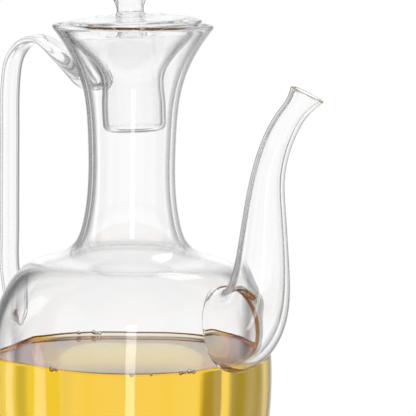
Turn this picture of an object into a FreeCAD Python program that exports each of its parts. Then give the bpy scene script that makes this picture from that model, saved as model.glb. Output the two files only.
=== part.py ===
"""A blown glass oil pitcher with a loose glass stopper and its filling of oil.

The pitcher stands on z = 0 with the axis of its body on Z. The spout points along +X, and the handle
stands opposite it. Every driving size is a cell of the spreadsheet "Sizes", in millimetres and degrees.
The glass is one solid: the five-lobed vessel, its spout and its handle are fused when they are blown.
"""

import FreeCAD
import Part
import math
import os

Vector = FreeCAD.Vector

SIZES = {
    # the vessel
    "wall": 1.9,
    "floor": 3.2,
    "foot_radius": 33.5,
    "heel": 4.0,
    "flank_inset": 6.4,
    "flank_height": 26.0,
    "belly_radius": 50.0,
    "belly_height": 72.0,
    "body_height": 111.0,
    "shoulder_inset": 8.4,
    "shoulder_drop": 8.4,
    "crown_radius": 27.5,
    "neck_root_radius": 19.6,
    "neck_root_rise": 5.2,
    "neck_radius": 15.3,
    "lip_height": 190.0,
    "waist_drop": 37.0,
    "flare_radius": 22.6,
    "flare_drop": 7.4,
    "lip_radius": 26.5,
    "lip_bead": 1.2,
    # the lobes, and the directions of the grooves between them
    "groove_depth": 3.5,
    "groove_softness": 0.22,
    "groove_angle_1": -14.0,
    "groove_angle_2": 55.0,
    "groove_angle_3": 126.0,
    "groove_angle_4": 200.0,
    "groove_angle_5": 263.0,
    # the spout
    "spout_root_height": 91.5,
    "spout_wall": 1.3,
    "spout_root_wall": 2.8,
    "spout_tip_angle": 72.0,
    "spout_tip_bead": 0.75,
    # the handle
    "handle_angle": 187.0,
    "handle_gap": 0.5,
    "handle_width": 11.5,
    "handle_thickness": 3.3,
    "handle_neck_drop": 16.5,
    "handle_foot_height": 90.0,
    # the stopper
    "stopper_wall": 1.2,
    "stopper_gap": 0.75,
    "stopper_clearance": 0.1,
    "stopper_seat_angle": 73.8,
    "stopper_lean": 2.6,
    "stopper_lean_angle": 218.0,
    "cap_edge": 0.6,
    "dome_rise": 2.9,
    "dimple": 2.0,
    "plug_clearance": 2.5,
    "plug_depth": 37.0,
    "plug_round": 2.6,
    "funnel_depth": 17.0,
    "knob_stem_radius": 5.3,
    "knob_radius": 7.2,
    "knob_height": 24.0,
    # the oil
    "oil_below_spout": 2.7,
}

# Stations of the spout's middle line: how far past the belly, how high above the root, outer radius.
SPOUT_STATIONS = [
    (-11.0, -2.2, 16.2),
    (-4.0, 0.0, 15.4),
    (1.8, 5.0, 12.6),
    (5.0, 14.0, 10.3),
    (6.0, 24.5, 8.8),
    (6.7, 39.9, 7.05),
    (7.5, 49.5, 5.9),
    (10.2, 59.8, 5.2),
    (15.5, 70.0, 4.7),
    (20.2, 75.8, 4.8),
    (23.1, 79.1, 6.0),
]

# Stations of the handle's arch, from the neck to the upright strap: the share of the way between them,
# the rise above the end on the neck, and how many strap widths and thicknesses the section has there.
ARCH_STATIONS = [
    (-0.11, -2.2, 1.45, 2.6),
    (0.00, 0.0, 1.55, 3.5),
    (0.11, 1.8, 1.45, 2.9),
    (0.24, 4.3, 1.30, 2.1),
    (0.385, 7.3, 1.17, 1.45),
    (0.50, 9.8, 1.08, 1.1),
    (0.61, 11.5, 1.02, 1.0),
    (0.75, 11.0, 1.0, 1.0),
    (0.86, 8.5, 1.0, 1.0),
    (0.943, 4.5, 1.0, 1.0),
    (0.985, -1.5, 1.0, 1.0),
    (1.0, -9.0, 1.0, 1.0),
]

# Stations of the handle's foot: the rise above the middle of the stretch that is fused to the body, how
# far outside the body's wall the middle of the strap is, and the section in strap widths and thicknesses.
FOOT_STATIONS = [
    (7.5, 5.1, 1.0, 1.0),
    (3.0, 2.8, 1.02, 1.05),
    (-1.0, 1.5, 1.04, 1.1),
    (-3.5, 0.8, 0.85, 1.0),
    (-5.0, 0.2, 0.5, 0.7),
]

# How many walls of solid glass lie between the edge of the stopper's cap and the space inside it.
EDGE_WALLS = 3

# How much wider than the belly the block is that the oil's level is cut with.
BLOCK_MARGIN = 1.2

# How deep the end of the handle sits in the neck, in walls.
HANDLE_SEAT = 0.7

STRAP_STEPS = 6
SECTION_POINTS = 90
MERIDIAN_SAMPLES = 30
SPOUT_SAMPLES = 16
HANDLE_SAMPLES = 36

doc = FreeCAD.newDocument("OilPitcher")
sheet = doc.addObject("Spreadsheet::Sheet", "Sizes")
for row, (alias, value) in enumerate(SIZES.items(), start=1):
    sheet.set(f"A{row}", alias)
    sheet.set(f"B{row}", str(value))
    sheet.setAlias(f"B{row}", alias)
doc.recompute()


def size(alias):
    """The value of one cell of the sheet, as a plain number."""
    return float(sheet.get(alias))


def spline(points):
    """A smooth curve through the points."""
    curve = Part.BSplineCurve()
    curve.interpolate(points)
    return curve


def samples(curve, count):
    """Evenly spaced points and directions along a curve."""
    first, last = curve.FirstParameter, curve.LastParameter
    for i in range(count + 1):
        at = first + (last - first) * i / count
        yield curve.value(at), curve.tangent(at)[0]


def graded(stations, count):
    """Sections evenly spaced along the smooth line through some stations, with their sizes graded between.

    Each station is a point and a tuple of sizes; each section is a point, a direction and its sizes.
    """
    line = spline([centre for centre, _ in stations])
    places = [line.parameter(centre) for centre, _ in stations]
    for i in range(count + 1):
        at = line.parameterAtDistance(line.length() * i / count)
        step = next((k for k in range(1, len(places)) if at <= places[k]), len(places) - 1)
        share = (at - places[step - 1]) / (places[step] - places[step - 1])
        before, after = stations[step - 1][1], stations[step][1]
        sizes = [a + (b - a) * share for a, b in zip(before, after)]
        yield line.value(at), line.tangent(at)[0], sizes


def offset(point, direction, distance):
    """The point moved to the inner side of a profile that climbs away from the axis's foot."""
    return point + Vector(-direction.z, 0, direction.x) * distance


# ---------------------------------------------------------------- the vessel


def outer_meridian():
    """The outline of the vessel in the XZ plane, from the edge of the foot up to the lip."""
    foot, heel = size("foot_radius"), size("heel")
    body, lip = size("body_height"), size("lip_height")
    belly = size("belly_radius")
    shoulder = belly - size("shoulder_inset")
    crown = size("crown_radius")
    root = size("neck_root_radius")
    neck = size("neck_radius")
    root_height = body + size("neck_root_rise")
    waist_height = lip - size("waist_drop")
    return spline(
        [
            Vector(foot - heel, 0, 0),
            Vector(foot - 0.25 * heel, 0, 0.3 * heel),
            Vector(foot + 0.3 * heel, 0, heel),
            Vector(belly - size("flank_inset"), 0, size("flank_height")),
            Vector(belly, 0, size("belly_height")),
            Vector(shoulder, 0, body - size("shoulder_drop")),
            Vector(0.45 * shoulder + 0.55 * crown, 0, body - 0.22 * size("shoulder_drop")),
            Vector(crown, 0, body),
            Vector(root, 0, root_height),
            Vector(0.6 * neck + 0.4 * root, 0, root_height + 0.16 * (waist_height - root_height)),
            Vector(neck, 0, waist_height),
            Vector(0.73 * neck + 0.27 * size("flare_radius"), 0, lip - 0.54 * size("waist_drop")),
            Vector(size("flare_radius"), 0, lip - size("flare_drop")),
            Vector(size("lip_radius") + 0.97 * size("lip_bead"), 0, lip),
        ]
    )


OUTER = outer_meridian()


def outer_radius(height):
    """The radius of the lobes' crests at a height."""
    level = Part.Plane(Vector(0, 0, height), Vector(0, 0, 1))
    return max(point.X for point in OUTER.toShape().Curve.intersect(level)[0])


def groove_share(angle):
    """How much of the groove's depth there is in one direction: 1 in a groove, 0 on a lobe's crest."""
    grooves = [size(f"groove_angle_{i}") for i in range(1, 6)]
    grooves.append(grooves[0] + 360)
    angle = grooves[0] + (math.degrees(angle) - grooves[0]) % 360
    left, right = next((a, b) for a, b in zip(grooves, grooves[1:]) if a <= angle <= b)
    soft = size("groove_softness")
    crest = math.hypot(1, soft)
    wave = math.hypot(math.sin(math.pi * (angle - left) / (right - left)), soft)
    return (crest - wave) / (crest - soft)


def groove_fade(height):
    """The depth of the grooves at a height: none on the crown, all of it at the belly, less at the foot."""
    belly = size("belly_height")
    climb = (size("body_height") - height) / (size("body_height") - belly)
    climb = min(max(climb, 0.0), 1.0)
    low = max(1 - height / belly, 0.0)
    return climb * climb * (3 - 2 * climb) * (1 - 0.45 * low * low)


def lobed_section(point, fade):
    """One level section of the vessel, as a closed wire through the point of the meridian."""
    depth = size("groove_depth") * fade * point.x / size("belly_radius")
    ring = []
    for i in range(SECTION_POINTS):
        angle = 2 * math.pi * i / SECTION_POINTS
        radius = point.x - depth * groove_share(angle)
        ring.append(Vector(radius * math.cos(angle), radius * math.sin(angle), point.z))
    curve = Part.BSplineCurve()
    curve.interpolate(Points=ring, PeriodicFlag=True)
    return Part.Wire(curve.toShape())


def wall_radius(height, angle):
    """The radius of the vessel's outside at a height, in one direction."""
    crest = outer_radius(height)
    depth = size("groove_depth") * groove_fade(height) * crest / size("belly_radius")
    return crest - depth * groove_share(math.radians(angle))


def vessel_body():
    """The vessel as a full solid, without its cavity."""
    sections = [lobed_section(point, groove_fade(point.z)) for point, _ in samples(OUTER, MERIDIAN_SAMPLES)]
    return Part.makeLoft(sections, True)


def vessel_cavity():
    """The space inside the vessel, carried on past the lip so that it opens the mouth."""
    wall, floor, heel = size("wall"), size("floor"), size("heel")
    wall_points = []
    for point, direction in samples(OUTER, MERIDIAN_SAMPLES):
        inner = offset(point, direction, wall)
        if inner.z > floor + 1.2 * heel:
            wall_points.append((inner, groove_fade(point.z)))
    low = wall_points[0][0]
    lean = (wall_points[1][0].x - low.x) / (wall_points[1][0].z - low.z)
    heel_radius = low.x - lean * (low.z - floor - heel)
    fade = groove_fade(floor)
    heel_points = [
        (Vector(heel_radius - 1.1 * heel, 0, floor), fade),
        (Vector(heel_radius - 0.4 * heel, 0, floor + 0.25 * heel), fade),
        (Vector(heel_radius - 0.04 * heel, 0, floor + 0.8 * heel), fade),
    ]
    last, before = wall_points[-1][0], wall_points[-2][0]
    mouth = (last + (last - before), 0.0)
    return Part.makeLoft([lobed_section(p, fade) for p, fade in heel_points + wall_points + [mouth]], True)


# ------------------------------------------------------- the spout and handle


def disc(centre, direction, radius):
    """A round section across the direction."""
    return Part.Wire(Part.Circle(centre, direction, radius).toShape())


def spout_line():
    """The centre, direction, outer radius and wall of each section of the spout."""
    belly, root = size("belly_radius"), size("spout_root_height")
    wall, extra = size("spout_wall"), size("spout_root_wall") - size("spout_wall")
    stations = []
    for i, (out, up, radius) in enumerate(SPOUT_STATIONS):
        thickness = wall + extra * max(1 - i / 4, 0.0)
        stations.append((Vector(belly + out, 0, root + up), (radius, thickness)))
    sections = list(graded(stations, SPOUT_SAMPLES))
    tip = math.radians(size("spout_tip_angle"))
    centre, _, sizes = sections[-1]
    sections[-1] = (centre, Vector(math.cos(tip), 0, math.sin(tip)), sizes)
    return sections


def spout_body():
    """The spout as a full solid, from inside the vessel's wall to the rim of its tip."""
    sections = [disc(centre, direction, sizes[0]) for centre, direction, sizes in spout_line()]
    return Part.makeLoft(sections, True)


def spout_bore():
    """The spout's bore, which opens the vessel's wall and runs out past the tip."""
    sections = [(centre, direction, sizes[0] - sizes[1]) for centre, direction, sizes in spout_line()]
    centre, direction, radius = sections[-1]
    wall = size("spout_wall")
    sections.append((centre + direction * 2 * wall, direction, radius + 0.5 * wall))
    return Part.makeLoft([disc(*section) for section in sections], True)


def handle_body():
    """The handle: a flat strap from the neck, over an arch and down onto the shoulder."""
    neck_height = size("lip_height") - size("handle_neck_drop")
    neck_reach = outer_radius(neck_height) - HANDLE_SEAT * size("wall")
    strap_reach = size("belly_radius") + size("handle_gap")
    stations = []
    for share, rise, wide, thick in ARCH_STATIONS:
        reach = neck_reach + share * (strap_reach - neck_reach)
        stations.append((Vector(reach, 0, neck_height + rise), (wide, thick)))
    foot = size("handle_foot_height")
    strap_top, strap_end = stations[-1][0].z, foot + 2 * FOOT_STATIONS[0][0]
    for step in range(1, STRAP_STEPS + 1):
        height = strap_top + (strap_end - strap_top) * step / STRAP_STEPS
        stations.append((Vector(strap_reach, 0, height), (1.0, 1.0)))
    for rise, outside, wide, thick in FOOT_STATIONS:
        reach = wall_radius(foot + rise, size("handle_angle")) + outside
        stations.append((Vector(reach, 0, foot + rise), (wide, thick)))
    sections = []
    for centre, direction, (wide, thick) in graded(stations, HANDLE_SAMPLES):
        across = direction.cross(Vector(0, 1, 0))
        ellipse = Part.Ellipse(
            centre + Vector(0, 1, 0) * (wide * size("handle_width") / 2),
            centre + across * (thick * size("handle_thickness") / 2),
            centre,
        )
        sections.append(Part.Wire(ellipse.toShape()))
    handle = Part.makeLoft(sections, True)
    handle.rotate(Vector(0, 0, 0), Vector(0, 0, 1), size("handle_angle"))
    return handle


# ---------------------------------------------------------------- the stopper


def plug_radius():
    """The outside of the plug, which hangs free in the neck."""
    return size("neck_radius") - size("wall") - size("plug_clearance")


def stopper_stations(cap):
    """Points of the stopper's outline below and above its edge, measured from the plane of the edge."""
    plug, depth, edge = plug_radius(), size("plug_depth"), size("cap_edge")
    turn, funnel = size("plug_round"), size("funnel_depth")
    dome = size("dome_rise")
    dimple = dome - size("dimple")
    stem, knob, top = size("knob_stem_radius"), size("knob_radius"), size("knob_height")
    span = cap - plug
    below = [
        Vector(0, 0, -depth),
        Vector(plug - turn, 0, -depth),
        Vector(plug - 0.3 * turn, 0, -depth + 0.3 * turn),
        Vector(plug, 0, -depth + turn),
        Vector(plug, 0, -0.5 * (depth - turn + funnel)),
        Vector(plug + 0.02 * span, 0, -funnel),
        Vector(plug + 0.16 * span, 0, -0.80 * funnel),
        Vector(plug + 0.44 * span, 0, -0.54 * funnel),
        Vector(plug + 0.74 * span, 0, -0.30 * funnel),
        Vector(cap - edge, 0, -edge),
    ]
    above = [
        Vector(cap - edge, 0, edge),
        Vector(0.86 * cap, 0, edge + 0.45 * (dome - edge)),
        Vector(0.6 * cap, 0, 0.88 * dome),
        Vector(0.36 * cap, 0, dome),
        Vector(1.22 * stem, 0, dimple + 0.2 * size("dimple")),
        Vector(0.96 * stem, 0, dimple + 0.1 * size("dimple")),
        Vector(1.09 * stem, 0, dimple + 0.55 * size("dimple")),
        Vector(stem, 0, dimple + size("dimple")),
        Vector(1.08 * stem, 0, 0.35 * top),
        Vector(knob, 0, 0.66 * top),
        Vector(0.62 * knob, 0, 0.93 * top),
        Vector(0, 0, top),
    ]
    return below, above


def turned(edges):
    """The solid that a closed outline beside the axis sweeps out in a full turn."""
    face = Part.Face(Part.Wire(edges))
    return face.revolve(Vector(0, 0, 0), Vector(0, 0, 1), 360)


def stopper_skin(cap):
    """The stopper's outside, as a full solid."""
    below, above = stopper_stations(cap)
    lower, upper = spline(below[1:]), spline(above)
    return turned(
        [
            Part.LineSegment(below[0], below[1]).toShape(),
            lower.toShape(),
            Part.Arc(below[-1], Vector(cap, 0, 0), above[0]).toShape(),
            upper.toShape(),
            Part.LineSegment(above[-1], below[0]).toShape(),
        ]
    )


def stopper_hollow(cap):
    """The sealed space inside the stopper, which runs up through a throat into its knob."""
    wall = size("stopper_wall")
    below, above = stopper_stations(cap)
    plug, turn = plug_radius() - wall, size("plug_round") - wall
    floor, roof = below[0].z + wall, size("knob_height") - wall
    stem, knob = size("knob_stem_radius") - wall, size("knob_radius") - wall
    dome = size("dome_rise") - wall
    dimple = size("dome_rise") - size("dimple") - wall
    reach = cap - EDGE_WALLS * wall
    funnel = [offset(p, d, wall) for p, d in samples(spline(below[4:]), 8)]
    funnel = [p for p in funnel if p.x < reach]
    upper = [
        Vector(reach, 0, 0.25 * dome),
        Vector(0.6 * cap, 0, 0.8 * dome),
        Vector(0.38 * cap, 0, dome),
        Vector(1.35 * stem, 0, dimple + 0.2 * wall),
        Vector(0.92 * stem, 0, dimple + 0.9 * wall),
        Vector(0.98 * stem, 0, dimple + 2.2 * wall),
        Vector(1.08 * stem, 0, 0.35 * roof),
        Vector(knob, 0, 0.66 * roof),
        Vector(0.62 * knob, 0, 0.93 * roof),
        Vector(0, 0, roof),
    ]
    diagonal = turn * (1 - math.sqrt(0.5))
    return turned(
        [
            Part.LineSegment(Vector(0, 0, floor), Vector(plug - turn, 0, floor)).toShape(),
            Part.Arc(
                Vector(plug - turn, 0, floor),
                Vector(plug - diagonal, 0, floor + diagonal),
                Vector(plug, 0, floor + turn),
            ).toShape(),
            Part.LineSegment(Vector(plug, 0, floor + turn), funnel[0]).toShape(),
            spline(funnel).toShape(),
            Part.LineSegment(funnel[-1], upper[0]).toShape(),
            spline(upper).toShape(),
            Part.LineSegment(upper[-1], Vector(0, 0, floor)).toShape(),
        ]
    )


def stopper_placement(cap):
    """The stopper leans in the mouth, with the lowest point of its edge resting on the lip's bead.

    The seat angle is measured at the lip's bead, from straight up to the round edge of the cap.
    """
    lean, seat = math.radians(size("stopper_lean")), math.radians(size("stopper_seat_angle"))
    edge_ring = cap - size("cap_edge")
    apart = size("cap_edge") + size("lip_bead") + size("stopper_clearance")
    shift = size("lip_radius") - edge_ring * math.cos(lean) - apart * math.sin(seat)
    rise = apart * math.cos(seat) + edge_ring * math.sin(lean)
    towards = math.radians(size("stopper_lean_angle"))
    side = Vector(math.cos(towards), math.sin(towards), 0)
    base = side * shift + Vector(0, 0, size("lip_height") + rise)
    return FreeCAD.Placement(base, FreeCAD.Rotation(Vector(0, 0, 1).cross(side), size("stopper_lean")))


# --------------------------------------------------------------- the document


def blown(name, shape):
    """An object of the document for a free-form shape."""
    thing = doc.addObject("Part::Feature", name)
    thing.Shape = shape
    return thing


def fused(name, *things):
    """The union of several objects."""
    union = doc.addObject("Part::MultiFuse", name)
    union.Shapes = list(things)
    return union


def cut(name, base, tool):
    """One object cut by another."""
    rest = doc.addObject("Part::Cut", name)
    rest.Base = base
    rest.Tool = tool
    return rest


def ring(name, radius, bead, height):
    """A round bead of glass, bound to the sheet."""
    torus = doc.addObject("Part::Torus", name)
    torus.setExpression("Radius1", radius)
    torus.setExpression("Radius2", bead)
    torus.setExpression("Placement.Base.z", height)
    return torus


def build_glass(cavity):
    """The vessel with its spout, handle and beads, as one piece of glass."""
    solid_glass = fused(
        "SolidGlass",
        blown("VesselBody", vessel_body()),
        blown("SpoutBody", spout_body()),
        blown("HandleBody", handle_body()),
    )
    hollows = fused("Hollows", cavity, blown("SpoutBore", spout_bore()))
    hollow_glass = cut("HollowGlass", solid_glass, hollows)
    lip = ring("LipBead", "Sizes.lip_radius", "Sizes.lip_bead", "Sizes.lip_height")
    tip = doc.addObject("Part::Torus", "SpoutBead")
    tip.setExpression("Radius1", f"{SPOUT_STATIONS[-1][2]} - Sizes.spout_wall / 2")
    tip.setExpression("Radius2", "Sizes.spout_tip_bead")
    centre, direction, _ = spout_line()[-1]
    tip.Placement = FreeCAD.Placement(centre, FreeCAD.Rotation(Vector(0, 0, 1), direction))
    glass = fused("Glass", hollow_glass, lip, tip)
    glass.Refine = False
    glass.Label = "glass"
    return glass


def build_oil(cavity):
    """The oil: the vessel's cavity up to a level just under the spout's hole."""
    block = doc.addObject("Part::Cylinder", "OilBlock")
    block.setExpression("Radius", f"Sizes.belly_radius * {BLOCK_MARGIN}")
    hole = f"({SPOUT_STATIONS[1][2]} - Sizes.spout_root_wall)"
    block.setExpression("Height", f"Sizes.spout_root_height - {hole} - Sizes.oil_below_spout")
    oil = doc.addObject("Part::MultiCommon", "Oil")
    oil.Shapes = [cavity, block]
    oil.Refine = False
    oil.Label = "oil"
    return oil


def build_stopper():
    """The hollow stopper, leaning in the mouth."""
    cap = size("lip_radius") - size("lip_bead") - size("stopper_gap")
    skin, hollow = blown("StopperSkin", stopper_skin(cap)), blown("StopperHollow", stopper_hollow(cap))
    stopper = cut("Stopper", skin, hollow)
    stopper.Placement = stopper_placement(cap)
    stopper.Label = "stopper"
    return stopper


vessel_space = blown("VesselCavity", vessel_cavity())
parts = [build_glass(vessel_space), build_oil(vessel_space), build_stopper()]
doc.recompute()

for thing in doc.Objects:
    if "Invalid" in thing.State or "Error" in thing.State:
        raise RuntimeError(f"{thing.Name} did not build: {thing.State}")
for part in parts:
    if part.Shape.isNull() or not part.Shape.isValid() or len(part.Shape.Solids) != 1:
        raise RuntimeError(f"{part.Label} is not one valid solid")

os.makedirs("parts", exist_ok=True)
for part in parts:
    part.Shape.exportStep(f"parts/{part.Label}.step")
    print(part.Label, round(part.Shape.Volume / 1000, 2), "cm3", part.Shape.BoundBox)
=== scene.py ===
# %% [markdown]
# # A blown glass oil pitcher
# The pitcher is drawn from one idea: glass is only seen through what it bends. So every wall here is a
# real wall, with an outside, an inside and a true thickness, and the oil touches the glass with no air
# between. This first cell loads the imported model, which fixes every size and place.

# %% Load the frame
import math

import bmesh
import bpy
import numpy as np
from mathutils import Matrix, Vector


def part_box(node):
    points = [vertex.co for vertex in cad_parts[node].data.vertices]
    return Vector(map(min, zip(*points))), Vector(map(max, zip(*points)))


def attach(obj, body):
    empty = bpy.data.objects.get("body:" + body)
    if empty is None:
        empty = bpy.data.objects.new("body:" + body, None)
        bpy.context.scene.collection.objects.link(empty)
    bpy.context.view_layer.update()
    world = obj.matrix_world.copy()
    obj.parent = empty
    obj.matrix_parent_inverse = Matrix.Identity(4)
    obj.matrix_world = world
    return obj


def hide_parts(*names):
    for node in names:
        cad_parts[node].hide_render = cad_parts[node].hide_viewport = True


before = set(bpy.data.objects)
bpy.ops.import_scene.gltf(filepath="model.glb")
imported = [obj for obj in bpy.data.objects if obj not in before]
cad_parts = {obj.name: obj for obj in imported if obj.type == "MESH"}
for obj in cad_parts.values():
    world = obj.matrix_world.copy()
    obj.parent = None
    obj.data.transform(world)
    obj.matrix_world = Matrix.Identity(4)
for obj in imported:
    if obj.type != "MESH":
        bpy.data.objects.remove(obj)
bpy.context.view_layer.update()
MM = 0.001
print("nodes:", sorted(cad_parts))

# %% [markdown]
# ## Sizes taken from the frame
# The heights of the lip, the oil and the stopper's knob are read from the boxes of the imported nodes. The
# other values are the glassblower's own: wall, heel, lobes. They are in metres, as everything in Blender
# is here. The tables of stations further on, and the sizes of the spout and the stopper beside them, are
# in millimetres, and are scaled where they are used.

# %% Main sizes
_, glass_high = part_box("glass")
_, oil_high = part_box("oil")

LIP_BEAD = 1.2 * MM
WALL = 1.9 * MM
FLOOR = 3.2 * MM
HEEL = 4.0 * MM
LIP_HEIGHT = glass_high.z - LIP_BEAD
OIL_LEVEL = oil_high.z
BELLY_RADIUS = 50.0 * MM
BELLY_HEIGHT = 72.0 * MM
BODY_HEIGHT = 111.0 * MM
GROOVE_DEPTH = 3.5 * MM
GROOVE_SOFTNESS = 0.22
GROOVE_ANGLES = [-14.0, 55.0, 126.0, 200.0, 263.0]
print("lip height %.1f mm, oil level %.1f mm" % (LIP_HEIGHT / MM, OIL_LEVEL / MM))

# %% [markdown]
# ## Smooth lines through a few stations
# Blown glass has no straight lines and no corners, so each outline is a smooth curve through a handful
# of stations. The helper below solves a natural cubic spline along the chord, which is how a bent strip
# of spring steel would lie.

# %% A smooth line
FINE_STEPS = 20


def smooth_line(stations, count):
    """Evenly spaced points along the smooth curve through the stations (rows of numbers)."""
    stations = np.asarray(stations, dtype=float)
    chord = np.linalg.norm(np.diff(stations[:, :3], axis=0), axis=1)
    at = np.concatenate([[0.0], np.cumsum(chord)])
    n = len(at)
    matrix = np.zeros((n, n))
    right = np.zeros((n, stations.shape[1]))
    matrix[0, 0] = matrix[-1, -1] = 1.0
    for i in range(1, n - 1):
        before, after = at[i] - at[i - 1], at[i + 1] - at[i]
        matrix[i, i - 1 : i + 2] = before, 2 * (before + after), after
        slopes = (stations[i + 1] - stations[i]) / after - (stations[i] - stations[i - 1]) / before
        right[i] = 6 * slopes
    bend = np.linalg.solve(matrix, right)

    def value(t):
        i = min(max(int(np.searchsorted(at, t)) - 1, 0), n - 2)
        span = at[i + 1] - at[i]
        a, b = (at[i + 1] - t) / span, (t - at[i]) / span
        curve = (a**3 - a) * bend[i] + (b**3 - b) * bend[i + 1]
        return a * stations[i] + b * stations[i + 1] + curve * span * span / 6

    fine = np.array([value(t) for t in np.linspace(0, at[-1], FINE_STEPS * count)])
    walked = np.concatenate([[0.0], np.cumsum(np.linalg.norm(np.diff(fine[:, :3], axis=0), axis=1))])
    even = np.linspace(0, walked[-1], count)
    return np.stack([np.interp(even, walked, fine[:, k]) for k in range(fine.shape[1])], axis=1)


def smooth_profile(stations, count):
    """The same for a profile, whose stations are only a radius and a height."""
    return smooth_line([(r, z, 0.0) for r, z in stations], count)[:, :2]


def inward(profile, distance):
    """A profile of (radius, height) rows moved sideways by a distance, to the left of its direction."""
    profile = np.asarray(profile, dtype=float)
    step = np.gradient(profile, axis=0)
    step /= np.linalg.norm(step, axis=1)[:, None]
    return profile + np.stack([-step[:, 1], step[:, 0]], axis=1) * distance


def arc(centre, radius, start, end, count):
    """Points of a circular arc in a profile, with angles in degrees."""
    angles = np.radians(np.linspace(start, end, count))
    return np.stack([centre[0] + radius * np.cos(angles), centre[1] + radius * np.sin(angles)], axis=1)


def level_row(radius, height, count):
    """Points on a level line from the axis towards a radius, which itself is left off."""
    return np.stack([np.linspace(0, radius, count)[:-1], np.full(count - 1, height)], axis=1)


# %% [markdown]
# ## Turning and lofting
# Two helpers make nearly every surface. `turned` spins a profile round Z, as a lathe does, and closes it
# on the axis. `lofted` joins rings of points into a tube. Both give closed meshes that face outwards.

# %% Turned and lofted meshes
ON_AXIS = 1e-6


def new_piece(name, verts, faces):
    """A smooth shaded object with its place in its mesh."""
    mesh = bpy.data.meshes.new(name)
    mesh.from_pydata([tuple(map(float, v)) for v in verts], [], faces)
    mesh.validate()
    mesh.polygons.foreach_set("use_smooth", [True] * len(mesh.polygons))
    piece = bpy.data.objects.new(name, mesh)
    bpy.context.scene.collection.objects.link(piece)
    return piece


def facing_out(piece):
    """Turns a closed piece's faces outwards, and prints the room that it takes up."""
    shape = bmesh.new()
    shape.from_mesh(piece.data)
    volume = shape.calc_volume(signed=True)
    if volume < 0:
        bmesh.ops.reverse_faces(shape, faces=shape.faces)
        shape.to_mesh(piece.data)
    shape.free()
    print("%s: %.2f cm3" % (piece.name, abs(volume) / (10 * MM) ** 3))
    return piece


def turned(name, profile, segments):
    """A closed solid of revolution: the profile starts and ends on the axis, and faces outwards."""
    inner = [p for p in profile if p[0] > ON_AXIS]
    verts = [(0.0, 0.0, profile[0][1])]
    for radius, height in inner:
        for k in range(segments):
            a = 2 * math.pi * k / segments
            verts.append((radius * math.cos(a), radius * math.sin(a), height))
    verts.append((0.0, 0.0, profile[-1][1]))
    faces = []
    for k in range(segments):
        faces.append((0, 1 + (k + 1) % segments, 1 + k))
    for i in range(len(inner) - 1):
        low, high = 1 + i * segments, 1 + (i + 1) * segments
        for k in range(segments):
            n = (k + 1) % segments
            faces.append((low + k, low + n, high + n, high + k))
    last, top = 1 + (len(inner) - 1) * segments, len(verts) - 1
    for k in range(segments):
        faces.append((last + k, last + (k + 1) % segments, top))
    return facing_out(new_piece(name, verts, faces))


def lofted(name, rings, closed=False):
    """A closed tube through rings of points; with closed set, the last ring joins the first."""
    rings = [list(map(Vector, ring)) for ring in rings]
    size = len(rings[0])
    verts = [v for ring in rings for v in ring]
    faces = []
    count = len(rings) if closed else len(rings) - 1
    for i in range(count):
        low, high = i * size, ((i + 1) % len(rings)) * size
        for k in range(size):
            n = (k + 1) % size
            faces.append((low + k, low + n, high + n, high + k))
    if not closed:
        for ring_start, flip in ((0, True), ((len(rings) - 1) * size, False)):
            centre = len(verts)
            verts.append(sum((verts[ring_start + k] for k in range(size)), Vector()) / size)
            for k in range(size):
                a, b = ring_start + k, ring_start + (k + 1) % size
                faces.append((centre, b, a) if flip else (centre, a, b))
    return facing_out(new_piece(name, verts, faces))


def rings_along(path, across, size, sides):
    """Elliptical rings across a path in the XZ plane; size gives each ring's half width and half depth."""
    path = np.asarray(path, dtype=float)
    step = np.gradient(path, axis=0)
    rings = []
    for centre, direction, (wide, deep) in zip(path, step, size):
        ahead = Vector(direction).normalized()
        side = Vector(across)
        up = ahead.cross(side).normalized()
        ring = []
        for k in range(sides):
            a = 2 * math.pi * k / sides
            ring.append(Vector(centre) + side * (wide * math.cos(a)) + up * (deep * math.sin(a)))
        rings.append(ring)
    return rings


# %% [markdown]
# ## Wiring nodes
# The materials, the studio and the two Geometry Nodes trees are all node trees, wired in the same few
# ways. `place_node` adds a node with its settings and inputs, `maths` is one sum, and `eased` goes over
# from a low value to a high one between two marks.

# %% Node helpers


def open_socket(tree, name, kind, value=None, way="INPUT"):
    """A named input of a tree, or an output, with its value where it has one."""
    socket = tree.interface.new_socket(name, in_out=way, socket_type="NodeSocket" + kind)
    if value is not None:
        socket.default_value = value


def place_node(tree, kind, inputs=(), **settings):
    """A new node: its inputs go by name or number, and are values or other nodes' outputs."""
    node = tree.nodes.new(kind)
    for name, value in settings.items():
        setattr(node, name, value)
    for key, value in dict(inputs).items():
        if isinstance(value, bpy.types.NodeSocket):
            tree.links.new(value, node.inputs[key])
        else:
            node.inputs[key].default_value = value
    return node


def maths(tree, operation, *values):
    """The result of one sum."""
    return place_node(tree, "ShaderNodeMath", enumerate(values), operation=operation).outputs[0]


def eased(tree, value, start, end, low=0.0, high=1.0, curve="SMOOTHSTEP"):
    """Low where the value is at start, high where it is at end, and in between on the way."""
    marks = {"Value": value, "From Min": start, "From Max": end, "To Min": low, "To Max": high}
    return place_node(tree, "ShaderNodeMapRange", marks, interpolation_type=curve).outputs[0]


# %% [markdown]
# ## Finishes
# Clear glass and oil are both transmission with the index of the real stuff, and the glass's colour also
# carries a painted grey shade at its edges, set out below. Blown glass is never quite even, so both share
# a node group of slow waves, which bends what is seen through them a little. The oil's colour is not on
# its surface: it is soaked up along the light's way, so thin places are pale and deep ones gold.

# %% The waves of blown glass


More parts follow.
